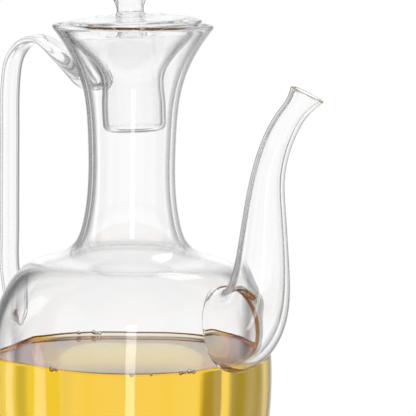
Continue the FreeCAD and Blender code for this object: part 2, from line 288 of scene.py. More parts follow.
def hand_blown():
    """A shader node group that puts out a normal with the slow waves of blown glass."""
    group = bpy.data.node_groups.new("hand_blown", "ShaderNodeTree")
    open_socket(group, "Waves per Metre", "Float", 60.0)
    open_socket(group, "Wave Height", "Float", 0.1 * MM)
    open_socket(group, "Normal", "Vector", way="OUTPUT")
    given = place_node(group, "NodeGroupInput").outputs
    coords = place_node(group, "ShaderNodeTexCoord")
    spread = {"Vector": coords.outputs["Object"], "Scale": given["Waves per Metre"], "Detail": 1.0}
    waves = place_node(group, "ShaderNodeTexNoise", spread)
    depth = {"Height": waves.outputs[0], "Distance": given["Wave Height"], "Strength": 1.0}
    bump = place_node(group, "ShaderNodeBump", depth)
    place_node(group, "NodeGroupOutput", {"Normal": bump.outputs[0]})
    return group


HAND_BLOWN = hand_blown()
print("node group:", HAND_BLOWN.name)

# %% [markdown]
# ## Grey edges for the glass
# In a studio, clear glass has dark outlines, bent in from what stands round it. The walls further on give
# only part of that dark. The rest is painted: the glass's own colour goes grey where an upright wall is
# met edge on, and on any face that is barely skimmed. It stands in for the studio, since real glass of
# this kind has no colour.

# %% Materials
GLASS_INDEX = 1.47
OIL_INDEX = 1.46
GLASS_WAVES = (60.0, 0.08 * MM)
OIL_WAVES = (45.0, 0.04 * MM)
BUBBLE_WAVES = (400.0, 0.01 * MM)
WHITE = (1.0, 1.0, 1.0, 1.0)
PAINTED_EDGE_GREY = (0.05, 0.05, 0.052, 1.0)
EDGE_ON = (0.45, 0.8)
UPRIGHT_TO_LYING = (0.7, 0.95)
SKIMMED = (0.9, 0.98)
SKIMMED_GREY = 0.9
OIL_COLOUR = (1.0, 0.905, 0.1, 1.0)
OIL_DENSITY = 50.0


def transparent(name, index, waves):
    """A new node material of clear, smooth, slightly waved stuff, and its Principled shader."""
    material = bpy.data.materials.new(name)
    material.use_nodes = True
    tree = material.node_tree
    shader = tree.nodes["Principled BSDF"]
    shader.inputs["Base Color"].default_value = WHITE
    shader.inputs["Transmission Weight"].default_value = 1.0
    shader.inputs["Roughness"].default_value = 0.0
    shader.inputs["IOR"].default_value = index
    values = {"Waves per Metre": waves[0], "Wave Height": waves[1]}
    group = place_node(tree, "ShaderNodeGroup", values, node_tree=HAND_BLOWN)
    tree.links.new(group.outputs[0], shader.inputs["Normal"])
    return material, shader


def clear_glass():
    """Colourless blown glass, with a painted grey shade where an upright wall is met edge on or a face is
    barely skimmed.
    """
    material, shader = transparent("blown_glass", GLASS_INDEX, GLASS_WAVES)
    tree = material.node_tree
    facing = place_node(tree, "ShaderNodeLayerWeight", {"Blend": 0.5}).outputs["Facing"]
    coords = place_node(tree, "ShaderNodeTexCoord")
    parts = place_node(tree, "ShaderNodeSeparateXYZ", {0: coords.outputs["Normal"]})
    lying = maths(tree, "ABSOLUTE", parts.outputs[2])
    upright = eased(tree, lying, *UPRIGHT_TO_LYING, low=1.0, high=0.0, curve="LINEAR")
    edge = maths(tree, "MULTIPLY", eased(tree, facing, *EDGE_ON), upright)
    skim = eased(tree, facing, *SKIMMED, high=SKIMMED_GREY)
    # painted shade: the glass's colour goes grey where a wall is met edge on and where a face is skimmed
    blend = {0: maths(tree, "MAXIMUM", edge, skim), 6: WHITE, 7: PAINTED_EDGE_GREY}
    painted_edge_shade = place_node(tree, "ShaderNodeMix", blend, data_type="RGBA")
    tree.links.new(painted_edge_shade.outputs[2], shader.inputs["Base Color"])
    return material


def golden_oil():
    """Clear yellow oil, coloured by how deep it is."""
    material, _ = transparent("oil_gold", OIL_INDEX, OIL_WAVES)
    tree = material.node_tree
    soak = place_node(tree, "ShaderNodeVolumeAbsorption", {"Color": OIL_COLOUR, "Density": OIL_DENSITY})
    tree.links.new(soak.outputs[0], tree.nodes["Material Output"].inputs["Volume"])
    return material


def air_in_oil():
    """The skin of a bubble: oil outside, air inside."""
    material, _ = transparent("air_in_oil", 1 / OIL_INDEX, BUBBLE_WAVES)
    return material


GLASS, OIL, AIR = clear_glass(), golden_oil(), air_in_oil()
print("materials:", GLASS.name, OIL.name, AIR.name)

# %% [markdown]
# ## The vessel
# The real vessel is one gather of glass, blown, necked and flared. Its outside is one profile from the
# foot to the lip, its inside is the same profile moved in by the wall, and a half round bead joins them
# at the mouth, where the flame has melted the edge.

# %% The vessel's profile
OUTER_STATIONS = [
    (29.5, 0.0),
    (32.5, 1.2),
    (34.7, 4.0),
    (43.6, 26.0),
    (49.96, 72.0),
    (41.6, 102.6),
    (33.85, 109.15),
    (27.5, 111.0),
    (22.4, 113.3),
    (19.6, 115.7),
    (18.1, 118.4),
    (17.0, 122.1),
    (15.3, 153.0),
    (17.3, 170.0),
    (22.6, 182.6),
    (27.66, 190.0),
]
DRAWN_LIP = OUTER_STATIONS[-1][1]
HEEL_TOP = 1.6
HEEL_STATIONS = [
    # heels in from the corner, heels up from the floor
    (1.25, 0.0),
    (0.42, 0.22),
    (0.0, 1.0),
]
VESSEL_SIDES = 200


def outer_profile(count=150):
    """The outside of the vessel, from the foot's edge to the lip."""
    rows = [(r * MM, z * MM * LIP_HEIGHT / (DRAWN_LIP * MM)) for r, z in OUTER_STATIONS]
    return smooth_profile(rows, count)


def inner_profile(extra=0.0):
    """The inside of the vessel, from the floor's middle to the lip; extra moves it out into the wall."""
    wall = inward(outer_profile(), WALL - extra)
    wall = wall[wall[:, 1] > FLOOR + HEEL_TOP * HEEL]
    low, above = wall[0], wall[3]
    lean = (above[0] - low[0]) / (above[1] - low[1])
    floor = FLOOR - extra
    corner = low[0] - lean * (low[1] - floor - HEEL)
    stations = [(corner - aside * HEEL, floor + up * HEEL) for aside, up in HEEL_STATIONS]
    turn = smooth_profile(stations + [tuple(low)], 14)[:-1]
    return np.concatenate([level_row(turn[0][0], floor, 14), turn, wall])


def vessel_profile():
    """The closed profile of the glass: under the foot, up the outside, over the lip and down the inside."""
    outside = outer_profile()
    inside = inner_profile()
    foot = level_row(outside[0][0], 0.0, 10)
    top = (outside[-1] + inside[-1]) / 2
    half = np.linalg.norm(outside[-1] - inside[-1]) / 2
    tilt = math.degrees(math.atan2(outside[-1][1] - top[1], outside[-1][0] - top[0]))
    bead = arc(top, half, tilt, tilt + 180, 16)[1:-1]
    return np.concatenate([foot, outside, bead, inside[::-1]])


print("vessel's profile:", len(vessel_profile()), "points")

# %% [markdown]
# ## Pressing the lobes
# The body has five lobes with soft grooves between them, pressed in by a ribbed mould. They follow a
# rule, so Geometry Nodes press them: each point moves towards the axis by the groove's depth, times how
# near it is to a groove, times how deep the mould bites at that height. The same tree presses the glass
# and the oil, so they always fit.

# %% The mould's node tree
FOOT_FADE = 0.45


def end_in_material(tree, geometry, material):
    """The end of a tree: instances are made real, the material is set, and the result is put out."""
    real = place_node(tree, "GeometryNodeRealizeInstances", {0: geometry})
    paint = place_node(tree, "GeometryNodeSetMaterial", {"Geometry": real.outputs[0], "Material": material})
    place_node(tree, "NodeGroupOutput", {0: paint.outputs[0]})


def press_tree():
    """A node tree that presses uneven lobes into a turned mesh."""
    tree = bpy.data.node_groups.new("press_lobes", "GeometryNodeTree")
    open_socket(tree, "Geometry", "Geometry")
    open_socket(tree, "Groove Depth", "Float", GROOVE_DEPTH)
    open_socket(tree, "Softness", "Float", GROOVE_SOFTNESS)
    open_socket(tree, "Belly Radius", "Float", BELLY_RADIUS)
    open_socket(tree, "Belly Height", "Float", BELLY_HEIGHT)
    open_socket(tree, "Body Height", "Float", BODY_HEIGHT)
    open_socket(tree, "Material", "Material")
    open_socket(tree, "Geometry", "Geometry", way="OUTPUT")
    given = place_node(tree, "NodeGroupInput").outputs

    def sum_of(operation, *values):
        return maths(tree, operation, *values)

    position = place_node(tree, "GeometryNodeInputPosition")
    x, y, z = place_node(tree, "ShaderNodeSeparateXYZ", {0: position.outputs[0]}).outputs
    first = math.radians(GROOVE_ANGLES[0])
    angle = sum_of("WRAP", sum_of("ARCTAN2", y, x), first + 2 * math.pi, first)

    wave = None
    for left, right in zip(GROOVE_ANGLES, GROOVE_ANGLES[1:] + [GROOVE_ANGLES[0] + 360]):
        span = eased(tree, angle, math.radians(left), math.radians(right), high=math.pi, curve="LINEAR")
        bulge = sum_of("SINE", span)
        wave = bulge if wave is None else sum_of("ADD", wave, bulge)

    soft = given["Softness"]
    soft_square = sum_of("MULTIPLY", soft, soft)
    crest = sum_of("SQRT", sum_of("ADD", soft_square, 1.0))
    height = sum_of("SQRT", sum_of("MULTIPLY_ADD", wave, wave, soft_square))
    share = sum_of("DIVIDE", sum_of("SUBTRACT", crest, height), sum_of("SUBTRACT", crest, soft))

    fade = eased(tree, z, given["Body Height"], given["Belly Height"])
    low = sum_of("SUBTRACT", 1.0, sum_of("DIVIDE", z, given["Belly Height"]))
    low = sum_of("MAXIMUM", low, 0.0)
    foot = sum_of("MULTIPLY_ADD", sum_of("MULTIPLY", low, low), -FOOT_FADE, 1.0)
    bite = sum_of("MULTIPLY", fade, foot)
    press = sum_of("MULTIPLY", sum_of("MULTIPLY", share, bite), given["Groove Depth"])
    scale = sum_of("SUBTRACT", 1.0, sum_of("DIVIDE", press, given["Belly Radius"]))

    pulled = {0: sum_of("MULTIPLY", x, scale), 1: sum_of("MULTIPLY", y, scale), 2: z}
    moved = place_node(tree, "ShaderNodeCombineXYZ", pulled)
    spot = {"Geometry": given["Geometry"], "Position": moved.outputs[0]}
    place = place_node(tree, "GeometryNodeSetPosition", spot)
    end_in_material(tree, place.outputs[0], given["Material"])
    return tree


PRESS = press_tree()
print("mould:", len(PRESS.nodes), "nodes")

# %% [markdown]
# ## From modifier to mesh
# A tree is run as a modifier. Its material is handed in by the socket's identifier, and the evaluated
# mesh then takes the place of the old one, so that nothing is left to work out later. Booleans cut and
# join the closed pieces in the same way.

# %% Modifiers made into meshes


def socket_id(tree, name):
    """The identifier of a tree's named input."""
    items = [item for item in tree.interface.items_tree if item.item_type == "SOCKET"]
    return next(item.identifier for item in items if item.name == name and item.in_out == "INPUT")


def pressed(piece, material):
    """Runs the mould over a piece and keeps the result as a plain mesh."""
    modifier = piece.modifiers.new("press", "NODES")
    modifier.node_group = PRESS
    modifier[socket_id(PRESS, "Material")] = material
    return applied(piece)


def applied(piece):
    """Turns a piece's modifiers into its mesh."""
    graph = bpy.context.evaluated_depsgraph_get()
    mesh = bpy.data.meshes.new_from_object(piece.evaluated_get(graph))
    old = piece.data
    piece.modifiers.clear()
    piece.data = mesh
    bpy.data.meshes.remove(old)
    return piece


def combined(base, tool, operation):
    """A boolean between two closed pieces; the tool is used up."""
    modifier = base.modifiers.new(operation.lower(), "BOOLEAN")
    modifier.operation = operation
    modifier.solver = "MANIFOLD"
    modifier.object = tool
    applied(base)
    used = tool.data
    bpy.data.objects.remove(tool)
    bpy.data.meshes.remove(used)
    return base


# %% The vessel
TRIM_INTO_WALL = 0.15 * MM


def cavity_tool(name):
    """The vessel's inside, moved a hair into the wall, to trim what is fused on from outside."""
    inside = inner_profile(extra=TRIM_INTO_WALL)
    last = inside[-1]
    cap = np.array([[last[0] + 2 * MM, last[1] + 4 * MM], [0.0, last[1] + 4 * MM]])
    return pressed(turned(name, np.concatenate([inside, cap]), VESSEL_SIDES), GLASS)


vessel = pressed(turned("glass_body", vessel_profile(), VESSEL_SIDES), GLASS)
print("vessel:", len(vessel.data.polygons), "faces")

# %% [markdown]
# ## The spout
# The spout is a drawn tube: wide where it is fused over the hole in the body, narrow at the pouring lip.
# It is lofted as a pipe with a real bore, and its root is trimmed to the inside of the vessel's wall.

# %% The spout
SPOUT_ROOT_HEIGHT = 91.5
SPOUT_STATIONS = [
    # out from the belly, up from the root, radius, wall
    (-11.0, -2.2, 16.2, 2.8),
    (-4.0, 0.0, 15.4, 2.4),
    (1.8, 5.0, 12.6, 2.05),
    (5.0, 14.0, 10.3, 1.68),
    (6.0, 24.5, 8.8, 1.3),
    (6.7, 39.9, 7.05, 1.3),
    (7.5, 49.5, 5.9, 1.3),
    (10.2, 59.8, 5.2, 1.3),
    (15.5, 70.0, 4.7, 1.3),
    (20.2, 75.8, 4.8, 1.3),
    (23.1, 79.1, 6.0, 1.3),
]
SPOUT_SIDES = 64
SPOUT_RINGS = 90
TIP_ANGLE = math.radians(68.0)
TIP_SKEW = math.radians(13.0)
TIP_RINGS = 14
RIM_STEPS = 8
HOLE_INSET = 0.75
HOLE_RINGS = 14
HOLE_BACK = 12


def spout_rings(inset):
    """Rings of the spout's skin, moved in by a share of its wall: 0 is the outside, 1 is the bore."""
    rows = []
    for out, up, radius, wall in SPOUT_STATIONS:
        rows.append((BELLY_RADIUS + out * MM, 0.0, (SPOUT_ROOT_HEIGHT + up) * MM, radius * MM, wall * MM))
    line = smooth_line(rows, SPOUT_RINGS)
    path = line[:, :3]
    step = np.gradient(path, axis=0)
    rings = []
    for i, (centre, direction) in enumerate(zip(path, step)):
        slope = math.atan2(direction[2], direction[0])
        near_tip = max(0.0, 1 - (SPOUT_RINGS - 1 - i) / TIP_RINGS)
        slope += (TIP_ANGLE - slope) * near_tip * near_tip
        ahead = Vector((math.cos(slope), 0, math.sin(slope)))
        up = Vector((-math.sin(slope), 0, math.cos(slope)))
        skew = TIP_SKEW * near_tip * near_tip
        side = Vector((0, 1, 0)) * math.cos(skew) - ahead * math.sin(skew)
        ahead = Vector((0, 1, 0)) * math.sin(skew) + ahead * math.cos(skew)
        radius = line[i, 3] - inset * line[i, 4]
        ring = []
        for k in range(SPOUT_SIDES):
            a = 2 * math.pi * k / SPOUT_SIDES
            ring.append(Vector(centre) + side * radius * math.cos(a) - up * radius * math.sin(a))
        rings.append((ring, Vector(centre), ahead))
    return rings


def build_spout():
    """The spout as a pipe: up the outside, over the round rim, and down the bore."""
    outside = spout_rings(0.0)
    bore = spout_rings(1.0)
    tip_outside, _, ahead = outside[-1]
    tip_bore = bore[-1][0]
    rim = []
    for i in range(1, RIM_STEPS):
        a = math.pi * i / RIM_STEPS
        ring = []
        for p, q in zip(tip_outside, tip_bore):
            middle, half = (p + q) / 2, (p - q) / 2
            ring.append(middle + half * math.cos(a) + ahead * half.length * math.sin(a))
        rim.append(ring)
    rings = [ring for ring, _, _ in outside] + rim + [ring for ring, _, _ in reversed(bore)]
    return lofted("spout", rings, closed=True)


def build_plug():
    """A plug a little wider than the bore, which opens the hole in the vessel's wall."""
    wide = [ring for ring, _, _ in spout_rings(HOLE_INSET)[:HOLE_RINGS]]
    first, second = wide[0], wide[1]
    back = [p + (p - q) * HOLE_BACK for p, q in zip(first, second)]
    return lofted("plug", [back] + wide)


spout = combined(build_spout(), cavity_tool("cavity"), "DIFFERENCE")
glass = combined(vessel, build_plug(), "DIFFERENCE")
glass = combined(glass, spout, "UNION")
print("glass with its spout:", len(glass.data.polygons), "faces")

# %% [markdown]
# ## The handle
# The handle is a flat strap of solid glass, pressed onto the neck while soft, pulled over an arch and
# dropped onto the shoulder. Its end on the neck is a thick spread pad, and its foot is a rounded tongue.

# %% The handle
HANDLE_ANGLE = math.radians(187.0)
HANDLE_WIDTH = 11.5 * MM
HANDLE_THICKNESS = 3.3 * MM
ARCH_STATIONS = [
    # out from the axis, up, share of the width, share of the thickness
    (12.8, 171.3, 1.45, 2.6),
    (17.0, 173.5, 1.55, 3.5),
    (20.7, 175.3, 1.45, 2.9),
    (25.0, 177.8, 1.30, 2.1),
    (29.9, 180.8, 1.17, 1.45),
    (33.7, 183.3, 1.08, 1.1),
    (37.4, 185.0, 1.02, 1.0),
    (42.1, 184.5, 1.0, 1.0),
    (45.8, 182.0, 1.0, 1.0),
    (48.6, 178.0, 1.0, 1.0),
    (50.0, 172.0, 1.0, 1.0),
    (50.5, 164.5, 1.0, 1.0),
]
STRAP_REACH = 50.5
STRAP_TOP = 164.5
STRAP_STEP = 9.9
STRAP_STATIONS = 6
FOOT_STATIONS = [
    # up, out from the axis, share of the width, share of the thickness
    (97.5, 49.5, 1.0, 1.0),
    (93.0, 48.8, 1.02, 1.05),
    (89.0, 48.4, 1.04, 1.1),
    (86.5, 48.0, 0.85, 1.0),
    (85.0, 47.6, 0.5, 0.7),
]
HANDLE_SIDES = 48
HANDLE_RINGS = 120
TONGUE_STEPS = 8
TONGUE_BULGE = 1.6 * MM
SHARP_ANGLE = math.radians(35)


def build_handle():
    """The strap, lofted from the neck to its foot in the plane of the handle."""
    rows = [(reach, 0.0, height, wide, thick) for reach, height, wide, thick in ARCH_STATIONS]
    for step in range(1, STRAP_STATIONS + 1):
        rows.append((STRAP_REACH, 0.0, STRAP_TOP - step * STRAP_STEP, 1.0, 1.0))
    rows += [(reach, 0.0, height, wide, thick) for height, reach, wide, thick in FOOT_STATIONS]
    line = smooth_line([(a * MM, b, c * MM, d, e) for a, b, c, d, e in rows], HANDLE_RINGS)
    sizes = [(w * HANDLE_WIDTH / 2, t * HANDLE_THICKNESS / 2) for w, t in line[:, 3:]]
    rings = rings_along(line[:, :3], (0, 1, 0), sizes, HANDLE_SIDES)
    end, before = rings[-1], rings[-2]
    centre = sum(end, Vector()) / len(end)
    ahead = (sum(end, Vector()) - sum(before, Vector())).normalized()
    for i in range(1, TONGUE_STEPS):
        a = math.pi / 2 * i / TONGUE_STEPS
        bulge = TONGUE_BULGE * math.sin(a)
        rings.append([centre + (p - centre) * math.cos(a) + ahead * bulge for p in end])
    piece = lofted("handle", rings)
    piece.data.transform(Matrix.Rotation(HANDLE_ANGLE, 4, "Z"))
    return piece


handle = build_handle()
handle = combined(handle, cavity_tool("cavity"), "DIFFERENCE")
glass = combined(glass, handle, "UNION")
glass.data.set_sharp_from_angle(angle=SHARP_ANGLE)
print("glass:", len(glass.data.polygons), "faces")

# %% [markdown]
# ## The stopper
# The stopper is hollow: a funnel and a plug under a shallow dome, with a knob drawn up from the middle.
# Its inner skin faces into the air it holds, so light crosses a thin wall twice, as it does in the real
# one. It leans a little in the mouth, with its edge on the lip.

# %% The stopper
CAP_RADIUS = 24.55
CAP_EDGE = 0.6
PLUG_RADIUS = 10.9
PLUG_DEPTH = 37.0
PLUG_ROUND = 2.6
FUNNEL_DEPTH = 17.0
DOME_RISE = 2.9
DIMPLE = 2.0
STEM_RADIUS = 5.3
KNOB_RADIUS = 7.2
KNOB_HEIGHT = 24.0
STOPPER_WALL = 1.2
STOPPER_LEAN = math.radians(2.6)
STOPPER_LEAN_ANGLE = math.radians(218.0)
STOPPER_SHIFT = 0.75
HAIR = 0.02 * MM
STOPPER_SIDES = 144


def funnel_rows():
    """Stations of the funnel, from the plug's side to the edge of the cap."""
    span = CAP_RADIUS - PLUG_RADIUS
    return [
        (PLUG_RADIUS, -PLUG_DEPTH + PLUG_ROUND),
        (PLUG_RADIUS, -0.5 * (PLUG_DEPTH - PLUG_ROUND + FUNNEL_DEPTH)),
        (PLUG_RADIUS + 0.02 * span, -FUNNEL_DEPTH),
        (PLUG_RADIUS + 0.16 * span, -0.80 * FUNNEL_DEPTH),
        (PLUG_RADIUS + 0.44 * span, -0.54 * FUNNEL_DEPTH),
        (PLUG_RADIUS + 0.74 * span, -0.30 * FUNNEL_DEPTH),
        (CAP_RADIUS - CAP_EDGE, -CAP_EDGE),
    ]


def stopper_outside():
    """The closed profile of the stopper's outer skin, from under the plug to the top of the knob."""
    base = -PLUG_DEPTH
    flat = level_row(PLUG_RADIUS - PLUG_ROUND, base, 8)
    corner = arc((PLUG_RADIUS - PLUG_ROUND, base + PLUG_ROUND), PLUG_ROUND, -90, 0, 12)
    funnel = smooth_profile(funnel_rows(), 70)[1:]
    edge = arc((CAP_RADIUS - CAP_EDGE, 0), CAP_EDGE, -90, 90, 10)[1:-1]
    dimple = DOME_RISE - DIMPLE
    above = [
        (CAP_RADIUS - CAP_EDGE, CAP_EDGE),
        (0.86 * CAP_RADIUS, CAP_EDGE + 0.45 * (DOME_RISE - CAP_EDGE)),
        (0.6 * CAP_RADIUS, 0.88 * DOME_RISE),
        (0.36 * CAP_RADIUS, DOME_RISE),
        (1.22 * STEM_RADIUS, dimple + 0.2 * DIMPLE),
        (0.96 * STEM_RADIUS, dimple + 0.1 * DIMPLE),
        (1.09 * STEM_RADIUS, dimple + 0.55 * DIMPLE),
        (STEM_RADIUS, dimple + DIMPLE),
        (1.08 * STEM_RADIUS, 0.35 * KNOB_HEIGHT),
        (KNOB_RADIUS, 0.66 * KNOB_HEIGHT),
        (0.62 * KNOB_RADIUS, 0.93 * KNOB_HEIGHT),
        (0.0, KNOB_HEIGHT),
    ]
    dome = smooth_profile(above, 120)
    return np.concatenate([flat, corner, funnel, edge, dome])


def stopper_inside():
    """The closed profile of the space inside the stopper and its knob."""
    base = -PLUG_DEPTH + STOPPER_WALL
    plug, turn = PLUG_RADIUS - STOPPER_WALL, PLUG_ROUND - STOPPER_WALL
    flat = level_row(plug - turn, base, 8)
    corner = arc((plug - turn, base + turn), turn, -90, 0, 10)
    funnel = smooth_profile(funnel_rows(), 70)
    funnel = inward(funnel, STOPPER_WALL)[2:]
    reach = CAP_RADIUS - 3 * STOPPER_WALL
    funnel = funnel[funnel[:, 0] < reach]
    stem, knob = STEM_RADIUS - STOPPER_WALL, KNOB_RADIUS - STOPPER_WALL
    dome, roof = DOME_RISE - STOPPER_WALL, KNOB_HEIGHT - STOPPER_WALL
    dimple = DOME_RISE - DIMPLE - STOPPER_WALL
    above = [
        (reach, 0.25 * dome),
        (0.6 * CAP_RADIUS, 0.8 * dome),
        (0.38 * CAP_RADIUS, dome),
        (1.35 * stem, dimple + 0.2 * STOPPER_WALL),
        (0.92 * stem, dimple + 0.9 * STOPPER_WALL),
        (0.98 * stem, dimple + 2.2 * STOPPER_WALL),
        (1.08 * stem, 0.35 * roof),
        (knob, 0.66 * roof),
        (0.62 * knob, 0.93 * roof),
        (0.0, roof),
    ]
    upper = smooth_profile(above, 110)
    low, high = funnel[-1], upper[0]
    rim = [low + (high - low) * share for share in (0.25, 0.5, 0.75)]
    return np.concatenate([flat, corner, funnel, rim, upper])


def stopper_seat():
    """The matrix that leans the stopper in the mouth, with its edge resting on the lip's bead."""
    _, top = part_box("stopper")
    side = Vector((math.cos(STOPPER_LEAN_ANGLE), math.sin(STOPPER_LEAN_ANGLE), 0))
    turn = Matrix.Rotation(STOPPER_LEAN, 4, Vector((0, 0, 1)).cross(side))
    knob_top = turn @ Vector((0, 0, KNOB_HEIGHT * MM))
    drop = top.z - knob_top.z - HAIR
    return Matrix.Translation(side * STOPPER_SHIFT * MM + Vector((0, 0, drop))) @ turn


stopper = turned("glass_stopper", stopper_outside() * MM, STOPPER_SIDES)
hollow = turned("stopper_hollow", stopper_inside() * MM, STOPPER_SIDES)
hollow.data.flip_normals()
mesh_tool = bmesh.new()
mesh_tool.from_mesh(stopper.data)
mesh_tool.from_mesh(hollow.data)
mesh_tool.to_mesh(stopper.data)
mesh_tool.free()
bpy.data.objects.remove(hollow)
stopper.data.transform(stopper_seat())
print("stopper:", len(stopper.data.polygons), "faces")

# %% [markdown]
# ## The oil
# Oil fills the vessel up to its level and clings to the wall in a small meniscus. Its side lies a
# quarter of a millimetre inside the glass, so that light passes straight from glass to oil.

# %% The oil
MENISCUS_RISE = 1.5 * MM
MENISCUS_REACH = 1.3 * MM
INTO_WALL = 0.25 * MM


def waterline_radius():
    """The inside radius of the vessel at the oil's level, before the mould has pressed it."""
    bare = inner_profile()
    up_the_belly = bare[(bare[:, 0] > 0.8 * BELLY_RADIUS) & (bare[:, 1] < BODY_HEIGHT)]
    return np.interp(OIL_LEVEL, up_the_belly[:, 1], up_the_belly[:, 0])


def oil_profile():
    """The closed profile of the oil: its floor, its side inside the wall, and its surface."""
    side = inner_profile(extra=INTO_WALL)
    rim = OIL_LEVEL + MENISCUS_RISE
    side = side[side[:, 1] < rim]
    wall_radius = waterline_radius()
    edge = np.array([[side[-1][0], rim]])
    gaps = np.concatenate([np.linspace(0, 3, 13), np.linspace(3.6, 12, 8)]) * MENISCUS_REACH
    surface = [(wall_radius - g, OIL_LEVEL + MENISCUS_RISE * math.exp(-g / MENISCUS_REACH)) for g in gaps]
    middle = [(r, OIL_LEVEL) for r in np.linspace(surface[-1][0], 0, 12)[1:]]
    return np.concatenate([side, edge, surface, middle])


oil = pressed(turned("oil_fill", oil_profile(), VESSEL_SIDES), OIL)
print("oil:", len(oil.data.polygons), "faces")

# %% [markdown]
# ## Bubbles at the oil's edge
# Fresh oil carries a few air bubbles, which gather where the surface meets the glass. They repeat, so
# Geometry Nodes set one small ball on each point of a few short arcs, with a size and a stray of its own.
# A bubble is air inside oil, so it has no colour and its index is one over the oil's.

# %% The bubbles' node tree
BUBBLE_ARCS = [
    # first and last bearing in degrees, bubbles between them
    (-31.0, -24.0, 9),
    (-86.5, -84.0, 3),
    (-52.0, -44.0, 2),
    (142.5, 145.0, 3),
    (151.0, 153.0, 3),
]
BUBBLE_LEVEL = OIL_LEVEL + 1.0 * MM
BUBBLE_INSET = 0.5 * MM
BUBBLE_SMALLEST = 0.28 * MM
BUBBLE_LARGEST = 0.95 * MM
BUBBLE_STRAY = 0.45 * MM
BUBBLE_SEED = 7
STRAY_LEAST = (-1.0, -1.0, -0.4)


def bubble_tree():
    """A node tree that turns each point of a mesh into a small ball."""
    tree = bpy.data.node_groups.new("edge_bubbles", "GeometryNodeTree")
    open_socket(tree, "Geometry", "Geometry")
    open_socket(tree, "Smallest", "Float", BUBBLE_SMALLEST)
    open_socket(tree, "Largest", "Float", BUBBLE_LARGEST)
    open_socket(tree, "Stray", "Float", BUBBLE_STRAY)
    open_socket(tree, "Seed", "Int", BUBBLE_SEED)
    open_socket(tree, "Material", "Material")
    open_socket(tree, "Geometry", "Geometry", way="OUTPUT")
    given = place_node(tree, "NodeGroupInput").outputs
    draw = {"Min": STRAY_LEAST, "Seed": given["Seed"]}
    stray = place_node(tree, "FunctionNodeRandomValue", draw, data_type="FLOAT_VECTOR")
    step = {0: stray.outputs[0], "Scale": given["Stray"]}
    aside = place_node(tree, "ShaderNodeVectorMath", step, operation="SCALE")
    spot = {"Geometry": given["Geometry"], "Offset": aside.outputs[0]}
    place = place_node(tree, "GeometryNodeSetPosition", spot)
    ball = place_node(tree, "GeometryNodeMeshIcoSphere", {"Radius": 1.0, "Subdivisions": 3})
    smooth = place_node(tree, "GeometryNodeSetShadeSmooth", {"Geometry": ball.outputs["Mesh"]})
    draw = {2: given["Smallest"], 3: given["Largest"], "Seed": given["Seed"]}
    size = place_node(tree, "FunctionNodeRandomValue", draw, data_type="FLOAT")
    set_out = {"Points": place.outputs[0], "Instance": smooth.outputs[0], "Scale": size.outputs[1]}
    copies = place_node(tree, "GeometryNodeInstanceOnPoints", set_out)
    end_in_material(tree, copies.outputs[0], given["Material"])
    return tree


# %% The bubbles


def build_bubbles():
    """Bubbles on arcs of the waterline, which the mould's tree bends to the lobes."""
    radius = waterline_radius() - BUBBLE_INSET
    points = []
    for first, last, count in BUBBLE_ARCS:
        for bearing in np.radians(np.linspace(first, last, count)):
            points.append((radius * math.cos(bearing), radius * math.sin(bearing), BUBBLE_LEVEL))
    piece = pressed(new_piece("bubbles", points, []), AIR)
    modifier = piece.modifiers.new("balls", "NODES")
    modifier.node_group = bubble_tree()
    modifier[socket_id(modifier.node_group, "Material")] = AIR
    return applied(piece)


bubbles = build_bubbles()
print("bubbles:", len(bubbles.data.polygons), "faces")

# %% [markdown]
# ## What rides where
# Every piece rides on the one body, and each of the first three stands for its solid in the frame.

# %% Riding
for piece, material, slot in (
    (glass, GLASS, "clear_glass"),
    (stopper, GLASS, "clear_glass"),
    (oil, OIL, "golden_oil"),
    (bubbles, AIR, "golden_oil"),
):
    piece.data.materials.clear()
    piece.data.materials.append(material)
    piece.data.polygons.foreach_set("material_index", [0] * len(piece.data.polygons))
    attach(piece, "root")
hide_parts("glass")
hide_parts("stopper")
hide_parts("oil")
print("riding on root:", glass.name, stopper.name, oil.name, bubbles.name)

# %% [markdown]
# ## The table
# The table is a small round one, so that light which the glass bends sideways goes past its edge to the
# studio's walls. It lies a hair below the foot. Its paper carries a painted shadow right under the foot,
# which greys what is seen down through the oil's surface, and goes over to white round about. Further out
# it has a faint glow for the eye, for gloss and for glass alone, which lights nothing else. The glow fades
# out towards the pitcher, which leaves a painted shadow round the foot.

# %% The table
VIEW_ANGLE = math.radians(38.0 - 90.0)
TABLE_RADIUS = 0.24
TABLE_SIDES = 96
TABLE_TOP = -0.15 * MM
FOOT_SHADE = 0.027
PAINTED_SHADOW_TONE = 0.2
PAPER_TONE = 0.8
PAPER_ROUGHNESS = 0.9
SHADE_RADIUS = 0.05
LIT_RADIUS = 0.15
GLOW = 0.1


def build_table():
    """A flat disc under the pitcher."""
    turn = np.linspace(0, 2 * math.pi, TABLE_SIDES + 1)[:-1]
    rim = [(TABLE_RADIUS * math.cos(a), TABLE_RADIUS * math.sin(a), TABLE_TOP) for a in turn]
    table = new_piece("table", rim, [tuple(range(len(rim)))])
    return table


